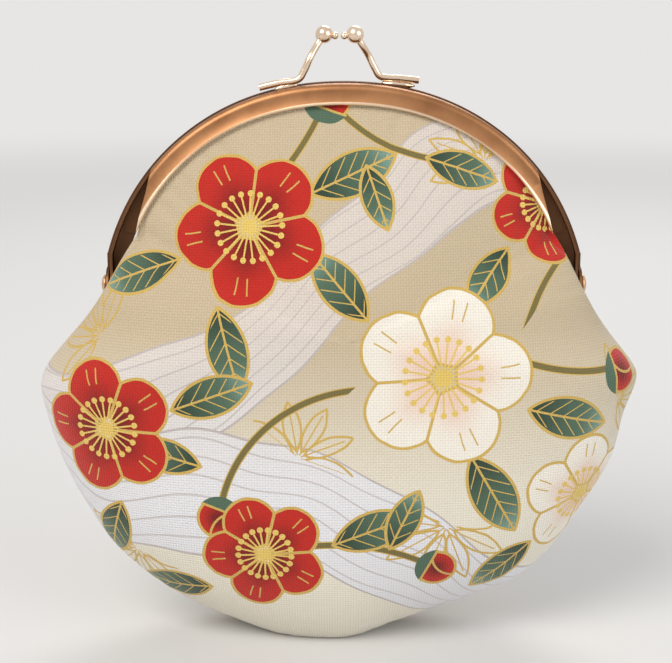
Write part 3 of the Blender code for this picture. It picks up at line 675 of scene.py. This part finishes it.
class Print:
    """The cloth's design: fields of colour laid over one another, placed in millimetres on the flat cloth."""

    def __init__(self, nodes, across, up, wobble, drift, colour):
        self.nodes, self.across, self.up = nodes, across, up
        self.wobble, self.drift, self.colour = wobble, drift, colour

    def lay(self, colour, mask):
        self.colour = self.nodes.paint(self.colour, colour, mask)

    def around(self, x, y, turn):
        """Distance from a point, and the angle about it from the given direction."""
        across, up = self.across - x, self.up - y
        reach = (across * across + up * up) ** 0.5
        return reach, up.maths("ARCTAN2", up, across) + (2 * pi - radians(turn))

    def blossom(self, x, y, radius, turn, light, deep):
        """Five round petals about the stamens, shaded to the heart, with gold rims and two short folds."""
        reach, angle = self.around(x, y, turn)
        sector = 2 * pi / 5
        fold = abs((angle / sector).fraction() - 0.5) * sector
        along, beside = reach * fold.cosine() - radius * 0.57, reach * fold.sine()
        petal = (along * along + beside * beside) ** 0.5 + self.wobble * 0.4 - radius * 0.43
        inside = petal < 0
        shade = self.nodes.paint(deep, light, (reach / radius + fold * 0.25).spread(0.25, 0.85))
        self.lay(shade, inside)
        between = reach * (sector / 2 - fold).sine()
        line = abs(petal).least(between + (petal > 0) * 9) < OUTLINE
        beside = beside + self.wobble * 0.3
        crease = (abs(beside - reach * 0.09) < OUTLINE * 0.5) * (abs(reach - radius * 0.76) < radius * 0.11)
        self.lay(GOLD_LINE, line.most(crease))
        rays = abs((angle * (21 / (2 * pi))).fraction() - 0.5) * (2 * pi / 21)
        away = reach - radius * 0.43
        filament = (reach * rays < 0.16) * (away < 0)
        anther = (away * away + (reach * rays) ** 2) < 0.3
        heart = reach < radius * 0.1
        self.lay(STAMEN, filament.most(anther).most(heart))

    def leaf(self, x, y, length, turn):
        """Pointed leaf from its stalk end: dark at the stalk, pale at the tip, with a gold rim and veins."""
        across, up, turn = self.across - x, self.up - y, radians(turn)
        along = across * cos(turn) + up * sin(turn) - length / 2
        beside = abs(up * cos(turn) - across * sin(turn))
        width = length * 0.23
        bow = (length**2 / 4 + width**2) / (2 * width)
        rim = (along * along + (beside + (bow - width)) ** 2) ** 0.5 - bow
        shade = self.nodes.paint(DEEP_LEAF, LEAF, (along / length).spread(-0.5, 0.15))
        shade = self.nodes.paint(shade, LEAF_TIP, (along / length).spread(0.1, 0.6))
        self.lay(shade, rim < 0)
        vein = (abs(((along - beside * 1.1) / 2.6).fraction() - 0.5) < 0.055) * (rim < -0.5)
        middle = (beside < 0.2) * (abs(along) < length / 2)
        self.lay(GOLD_LINE, (abs(rim) < OUTLINE).most(middle).most(vein))

    def stream(self, x, y, slope, swing, width, phase):
        """Pale band that flows across the cloth, with fine lines along it."""
        course = self.up - y - (self.across - x) * slope - ((self.across + phase) / 15).sine() * swing
        course = course + self.drift
        inside = abs(course) < width
        # Painted light: the stream turns paler towards the bottom of the cloth.
        self.lay(self.nodes.paint(STREAM_PAINTED_LIGHT, STREAM, self.up.spread(-32, 8)), inside)
        lines = abs((course / 3.4 + ((self.across - phase) / 7).sine() * 0.3).fraction() - 0.5) < 0.05
        edge = abs(abs(course) - width) < OUTLINE * 0.8
        self.lay(STREAM_LINE, (lines * inside * 0.7).most(edge))

    def stem(self, x, y, bend, start, end, thick=0.5):
        """Curved twig: part of a ring about a point, between two directions, with a gold line along it."""
        across, up = self.across - x, self.up - y
        reach = (across * across + up * up) ** 0.5 - bend
        middle, half = radians(start + end) / 2, radians(end - start) / 2
        within = across * cos(middle) + up * sin(middle) > abs(bend) * cos(half)
        self.lay(GOLD_LINE, (abs(reach) < thick + OUTLINE * 0.7) * within)
        self.lay(TWIG, (abs(reach) < thick) * within)

    def spray(self, x, y, length, turn, count, fan):
        """Fan of leaves in gold line only, about the point that they grow from."""
        reach, angle = self.around(x, y, turn + 180)
        sector = 2 * pi / count
        away = (angle / (2 * pi)).fraction() * (2 * pi) - pi
        fold = abs((angle / sector).fraction() - 0.5) * sector
        along, beside = reach * fold.cosine() - length * 0.56, reach * fold.sine()
        width = length * 0.15
        bow = ((length * 0.44) ** 2 + width**2) / (2 * width)
        rim = (along * along + (beside + (bow - width)) ** 2) ** 0.5 - bow
        vein = (beside < 0.13) * (along < length * 0.3) * (reach > 0.5)
        line = (abs(rim + self.wobble * 0.5) < OUTLINE * 0.75).most(vein)
        self.lay(GOLD_LINE, line * (abs(away) < radians(fan)) * (reach < length * 1.02))

    def bud(self, x, y, radius, turn):
        """Closed bud: a round of petals in a gold line, half in a green cup."""
        reach, angle = self.around(x, y, turn)
        self.lay(self.nodes.paint(DEEP_RED, RED, (reach / radius).spread(0.1, 0.9)), reach < radius)
        seam = abs(reach * (angle + 0.5).sine() - reach * reach * (0.4 / radius)) < OUTLINE * 0.8
        self.lay(GOLD_LINE, (abs(reach - radius) < OUTLINE).most(seam * (reach < radius)))
        cup = reach * angle.cosine() < -radius * 0.45
        near = reach < radius * 1.12
        self.lay(LEAF, cup * near)
        self.lay(GOLD_LINE, (abs(reach * angle.cosine() + radius * 0.45) < OUTLINE * 0.8) * near)


def motif_group(draw, place):
    """One motif over the colour given, in a node group of its own to keep the cloth's tree small."""
    tree = bpy.data.node_groups.new(draw.__name__, "ShaderNodeTree")
    for name in ("across", "up", "wobble", "drift"):
        tree.interface.new_socket(name, in_out="INPUT", socket_type="NodeSocketFloat")
    for way in ("INPUT", "OUTPUT"):
        tree.interface.new_socket("colour", in_out=way, socket_type="NodeSocketColor")
    nodes = Nodes(tree)
    given = nodes.node("NodeGroupInput")
    design = Print(nodes, *[given.output(number) for number in range(5)])
    draw(design, *place)
    nodes.node("NodeGroupOutput", {}, {0: design.colour})
    return tree


def printed_cotton():
    finish = Finish("printed_cotton", Roughness=0.9, Sheen_Weight=0.25, Sheen_Roughness=0.5,
                    Specular_IOR_Level=0.25)
    cloth = finish.node("ShaderNodeAttribute", {"attribute_name": "cut_place"}, out="Vector")
    across = finish.node("ShaderNodeSeparateXYZ", {}, {0: cloth})
    up = across.output(1)
    wobble = (finish.noise(cloth, 0.3, 1.0) - 0.5) * 1.2
    drift = (finish.noise(cloth, 0.05, 0.0) - 0.5) * 9
    # Painted light: the ground turns paler towards the bottom of the cloth.
    colour = finish.paint(GROUND_PAINTED_LIGHT, GROUND, up.spread(-36, 6))
    for draw, places in ((Print.stream, STREAMS), (Print.spray, SPRAYS), (Print.stem, STEMS),
                         (Print.leaf, LEAVES), (Print.bud, BUDS), (Print.blossom, BLOSSOMS)):
        for place in places:
            given = dict(enumerate((across, up, wobble, drift, colour)))
            colour = finish.node("ShaderNodeGroup", {"node_tree": motif_group(draw, place)}, given)
    warp = (across * (pi / THREAD_PITCH)).cosine()
    weft = (up * (pi / THREAD_PITCH)).cosine()
    over = warp * weft
    cells = abs(over)
    along = finish.node("ShaderNodeVectorMath", {"operation": "MULTIPLY"}, {0: cloth, 1: (0.25, 2.2, 1)})
    slub = finish.noise(along, 1.0)
    shadow = finish.paint((1, 1, 1, 1), (0.62, 0.58, 0.54, 1), (1 - cells) * 0.42)
    woven = finish.node("ShaderNodeMix", {"data_type": "RGBA", "blend_type": "MULTIPLY"},
                        {0: 1.0, 6: colour, 7: shadow}, out=2)
    finish.set(Base_Color=woven, Roughness=0.82 + cells * 0.12,
               Normal=finish.bump(cells + over * 0.25 + slub * 0.5, WEAVE_RELIEF))
    return finish.material


cotton = printed_cotton()
for label, side, flat_turn in (("front", -1, 0.0), ("back", 1, radians(140))):
    panel = sewn_panel(label + "_outer_panel", side, 0.0, CLOTH, cotton, flat_turn)
    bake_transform(panel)
    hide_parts(label + "_panel", label + "_panel_top")

# Lining. Two panels of undyed cotton, cut a little smaller, sewn the same way and dropped inside with the
# seams outward. Their tops lie under the printed cloth in the channels.
LINING_INSET = CLOTH + CLOTH_GAP
ROUGH_RELIEF = 0.00008      # of the lining's weave and of the twisted paper


def lining_cotton():
    finish = Finish("lining_cotton", Roughness=0.9, Sheen_Weight=0.2, Specular_IOR_Level=0.25)
    place = finish.node("ShaderNodeAttribute", {"attribute_name": "cut_place"}, out="Vector")
    across = finish.node("ShaderNodeSeparateXYZ", {}, {0: place})
    cells = abs((across * (pi / THREAD_PITCH)).cosine() * (across.output(1) * (pi / THREAD_PITCH)).cosine())
    soft = finish.noise(place, 0.08, 3.0)
    colour = finish.paint(tone(226, 214, 190), tone(214, 200, 172), soft.spread(0.3, 0.7))
    shadow = finish.paint(colour, tone(176, 160, 130), (1 - cells) * 0.5)
    finish.set(Base_Color=shadow, Normal=finish.bump(cells + soft, ROUGH_RELIEF))
    return finish.material


undyed = lining_cotton()
for label, side in (("front", -1), ("back", 1)):
    panel = sewn_panel(label + "_lining_panel", side, LINING_INSET, LINING, undyed, 0.0)
    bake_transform(panel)
    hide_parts(label + "_lining", label + "_lining_top")

# Paper cords. Kraft paper twisted into a cord, pressed into each channel behind the cloth to wedge it there.
def twisted_paper():
    finish = Finish("twisted_paper", Roughness=0.95)
    place = finish.node("ShaderNodeTexCoord", out=OBJECT_PLACE)
    fibres = finish.noise(place, 900.0, 3.0)
    twist = finish.node("ShaderNodeTexWave", {"bands_direction": "DIAGONAL"},
                        {"Vector": place, "Scale": 420.0})
    finish.set(Base_Color=finish.paint(tone(150, 126, 92), tone(186, 160, 120), fibres),
               Normal=finish.bump(twist + fibres * 0.4, ROUGH_RELIEF))
    return finish.material


paper = twisted_paper()
for label in ("front", "back"):
    cord = frame["nodes"][label + "_paper_cord"]
    cord.data.materials.clear()
    cord.data.materials.append(paper)

# Clasp. Two cast arms, polished and plated, each soldered by its foot along the top of one half. Their colour
# is paler than the frame's, a painted highlight for the bright streaks that the round rods reflect. The balls
# cross over and snap past each other on the small nubs inside them.
CLASP_OFFSET = -0.0008      # the clasp's middle, a little left of the frame's
CLASP_REACH = 0.0137        # from there to each toe
CLASP_ROD = 0.00062         # half the stem's thickness
CLASP_HEEL = 0.0072
CLASP_RISE = 0.0083         # of the balls' middle over the arc's top
BALL_RADIUS = 0.00155
BALL_REACH = 0.0027
BALL_PASS = 0.0005
NUB_RADIUS = 0.00065
SOLDER = 0.0005
SOLDER_HEIGHT = 0.0006
# Half of each bead's width, and its share of the foot's length.
BEADS = {"front": (0.0004, 0.6), "back": (0.00085, 0.9)}
FOOT_DEPTH = 0.0013         # the feet's middle from the parting plane
TOE_LIFT = {"front": 0.0002, "back": 0.0006}    # the back arm's foot was soldered on a little askew


def smooth_route(points, steps):
    """Points of a smooth curve that passes through all the given ones."""
    ends = [2 * points[0] - points[1], *points, 2 * points[-1] - points[-2]]
    route = []
    for a, b, c, d in zip(ends, ends[1:], ends[2:], ends[3:]):
        for t in np.linspace(0, 1, steps, endpoint=False):
            route.append(0.5 * (2 * b + (c - a) * t + (2 * a - 5 * b + 4 * c - d) * t**2
                                + (3 * b - a - 3 * c + d) * t**3))
    return route + [ends[-2]]


def cast_rod(name, route, radii, material, sides=20):
    """Round rod along a route, its radius changing on the way, with flat caps on its ends."""
    bm = bmesh.new()
    rings = []
    normal = Vector((0, 1, 0))
    for i, (point, radius) in enumerate(zip(route, radii)):
        ahead = (route[min(i + 1, len(route) - 1)] - route[max(i - 1, 0)]).normalized()
        normal = (normal - ahead * normal.dot(ahead)).normalized()
        beside = ahead.cross(normal)
        angles = [2 * pi * k / sides for k in range(sides)]
        rings.append([bm.verts.new(point + (normal * cos(a) + beside * sin(a)) * radius) for a in angles])
    for a, b in zip(rings, rings[1:]):
        for k in range(sides):
            bm.faces.new((a[k], a[(k + 1) % sides], b[(k + 1) % sides], b[k]))
    bm.faces.new(rings[0])
    bm.faces.new(rings[-1])
    return into_object(name, bm, material)


def ball_at(place, radius, segments=32):
    bm = bmesh.new()
    bmesh.ops.create_uvsphere(bm, u_segments=segments, v_segments=segments // 2, radius=radius,
                              matrix=Matrix.Translation(place))
    return bm


def solder_bead(place, along, width, length):
    """Low bead of solder that has run out under a foot."""
    bm = ball_at((0, 0, 0), 1.0, 24)
    for vert in bm.verts:
        lump = 1 + 0.12 * sin(9 * vert.co.x + 2 * vert.co.y)
        vert.co = Vector((vert.co.x * length / 2, vert.co.y * width * lump, vert.co.z * SOLDER_HEIGHT * lump))
    turn = Vector((1, 0, 0)).rotation_difference(along).to_matrix().to_4x4()
    bm.transform(Matrix.Translation(place) @ turn)
    return bm


def clasp_arm(name, side, mirror, outside, centre, toe_lift, bead, material):
    foot_depth = side * (HALF_GAP + FOOT_DEPTH)
    ball_height = arc_height + ARC_RADIUS + CLASP_RISE
    ball = Vector((CLASP_OFFSET + mirror * BALL_REACH, -side * BALL_PASS, ball_height))

    def on_frame(reach):
        across = CLASP_OFFSET + mirror * reach
        angle = angle_across(outside, across)
        return arc_point(arc_radius(outside, 0, angle) + SOLDER + CLASP_ROD, angle, foot_depth, centre)

    heel = on_frame(CLASP_HEEL)
    lift = Vector((-mirror * CLASP_ROD * 2, 0, CLASP_ROD * 2.6))
    stem = ball + Vector((mirror * BALL_RADIUS * 0.75, side * BALL_PASS, -BALL_RADIUS * 1.1))
    middle = (heel + lift + stem) / 2 + Vector((mirror * CLASP_ROD * 0.2, side * CLASP_ROD, 0))
    toe = on_frame(CLASP_REACH) + Vector((0, 0, toe_lift))
    foot = on_frame((CLASP_REACH + CLASP_HEEL) / 2) + Vector((0, 0, toe_lift / 3))
    points = [toe, foot, heel, heel + lift, middle, stem, ball]
    route = smooth_route(points, 10)
    route.insert(1, route[0] + (route[1] - route[0]) * 0.1)
    radii = [CLASP_ROD * (0.8 if i == 0 else 1.0) for i in range(len(route))]
    arm = cast_rod(name, route, radii, material)
    width, share = bead
    under = foot.lerp(heel, 1 - share) - Vector((0, 0, CLASP_ROD + SOLDER / 2 + toe_lift / 3))
    length = (toe - heel).length * share
    cut_or_join(arm, solder_bead(under, (heel - toe).normalized(), width, length), "UNION")
    cut_or_join(arm, ball_at(ball, BALL_RADIUS), "UNION")
    nub = Vector((CLASP_OFFSET + mirror * (HALF_GAP + NUB_RADIUS), ball.y, ball.z - NUB_RADIUS / 3))
    cut_or_join(arm, ball_at(nub, NUB_RADIUS, 20), "UNION")
    arm.data.shade_smooth()
    arm.data.set_sharp_from_angle(angle=radians(35))
    return arm


# Paler than the frame's colours: a painted highlight for the reflections on the clasp's round rods.
clasp_gold = gold_plate("clasp_gold", tone(236, 214, 190), tone(222, 196, 168), 0.12, polished=0.8)
for label, side, outside, centre, *_ in HALVES:
    arm = clasp_arm(label + "_clasp_cast", side, side, outside, centre, TOE_LIFT[label], BEADS[label],
                    clasp_gold)
    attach(arm, label + "_jaw")
    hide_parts(label + "_clasp_arm")

# Studio. A pale table that runs on to the horizon, a soft lamp high on the left, weaker ones on the right
# and behind, and the camera a little above the purse, as in the photograph.
TABLE_SIZE = 6.0
CAMERA_DISTANCE = 0.28
CAMERA_PITCH = radians(11.5)
PICTURE = (672, 663)
PICTURE_SCALE = 5600        # picture points a metre, at the frame's front
ARC_CENTRE_PLACE = (344, 329.5)     # picture points from the left and from the top
TABLE_PALE = (0.70, 0.69, 0.675, 1)
BACKDROP = (0.80, 0.79, 0.775, 1)
SKY, SKY_STRENGTH = (0.86, 0.88, 0.9, 1), 0.5
TABLE_FADE = (0.25, 1.3)    # from here to here the table fades into the backdrop


def seen_ray(nodes):
    """1 for what the camera sees, itself or in a gloss, and 0 for light that falls on things."""
    path = nodes.node("ShaderNodeLightPath", out="Is Camera Ray")
    return path.most(path.output("Is Glossy Ray"))


bm = bmesh.new()
bmesh.ops.create_grid(bm, x_segments=8, y_segments=8, size=TABLE_SIZE / 2)
pale = Finish("pale_table", Roughness=0.75, Base_Color=TABLE_PALE, Specular_IOR_Level=0.2)
place = pale.node("ShaderNodeNewGeometry")
away = pale.node("ShaderNodeVectorMath", {"operation": "LENGTH"}, {0: place}, out=1)
glow = pale.node("ShaderNodeEmission", {}, {"Color": BACKDROP})
pale.feed(pale.tree.nodes["Material Output"], {"Surface": pale.node("ShaderNodeMixShader", {}, {
    0: away.spread(*TABLE_FADE) * seen_ray(pale), 1: Wire(pale, pale.shader.outputs[0]), 2: glow})})
table = into_object("table", bm, pale.material)

world = bpy.data.worlds.new("studio")
bpy.context.scene.world = world
world.use_nodes = True
air, ends = Nodes(world.node_tree), world.node_tree.nodes
air.feed(ends["Background"], {"Color": SKY, "Strength": SKY_STRENGTH})
shown = air.node("ShaderNodeBackground", {}, {"Color": BACKDROP})
air.feed(ends["World Output"], {"Surface": air.node("ShaderNodeMixShader", {}, {
    0: seen_ray(air), 1: Wire(air, ends["Background"].outputs[0]), 2: shown})})


def soft_lamp(name, place, aim, size, power, colour):
    lamp = bpy.data.lights.new(name, "AREA")
    lamp.size, lamp.energy, lamp.color = size, power, colour
    holder = bpy.data.objects.new(name, lamp)
    bpy.context.scene.collection.objects.link(holder)
    holder.location = place
    holder.rotation_euler = (Vector(aim) - Vector(place)).to_track_quat("-Z", "Y").to_euler()


purse_middle = (0, 0, arc_height)
soft_lamp("key_lamp", (-0.45, -0.6, 0.75), purse_middle, 0.6, 7.2, (1.0, 0.97, 0.93))
soft_lamp("fill_lamp", (0.7, -0.5, 0.35), purse_middle, 0.6, 2.6, (0.94, 0.97, 1.0))
soft_lamp("back_lamp", (0.1, 0.6, 0.6), purse_middle, 0.4, 2.4, (1.0, 1.0, 1.0))

focal = PICTURE_SCALE * CAMERA_DISTANCE
camera_data = bpy.data.cameras.new("camera")
camera_data.sensor_width = 36.0
camera_data.lens = camera_data.sensor_width * focal / PICTURE[0]
camera_data.clip_start, camera_data.clip_end = 0.01, 20
camera = bpy.data.objects.new("camera", camera_data)
bpy.context.scene.collection.objects.link(camera)
bpy.context.scene.camera = camera
camera.rotation_euler = (pi / 2 - CAMERA_PITCH, 0, 0)
forward = Vector((0, cos(CAMERA_PITCH), -sin(CAMERA_PITCH)))
upward = Vector((0, sin(CAMERA_PITCH), cos(CAMERA_PITCH)))
aim_across = (ARC_CENTRE_PLACE[0] - PICTURE[0] / 2) / PICTURE_SCALE
aim_up = (PICTURE[1] / 2 - ARC_CENTRE_PLACE[1]) / PICTURE_SCALE
frame_face = Vector((0, -HALF_GAP - CHANNEL_DEPTH, arc_height))
camera.location = frame_face - forward * CAMERA_DISTANCE - Vector((aim_across, 0, 0)) - upward * aim_up

bpy.context.scene.view_settings.view_transform = "Standard"
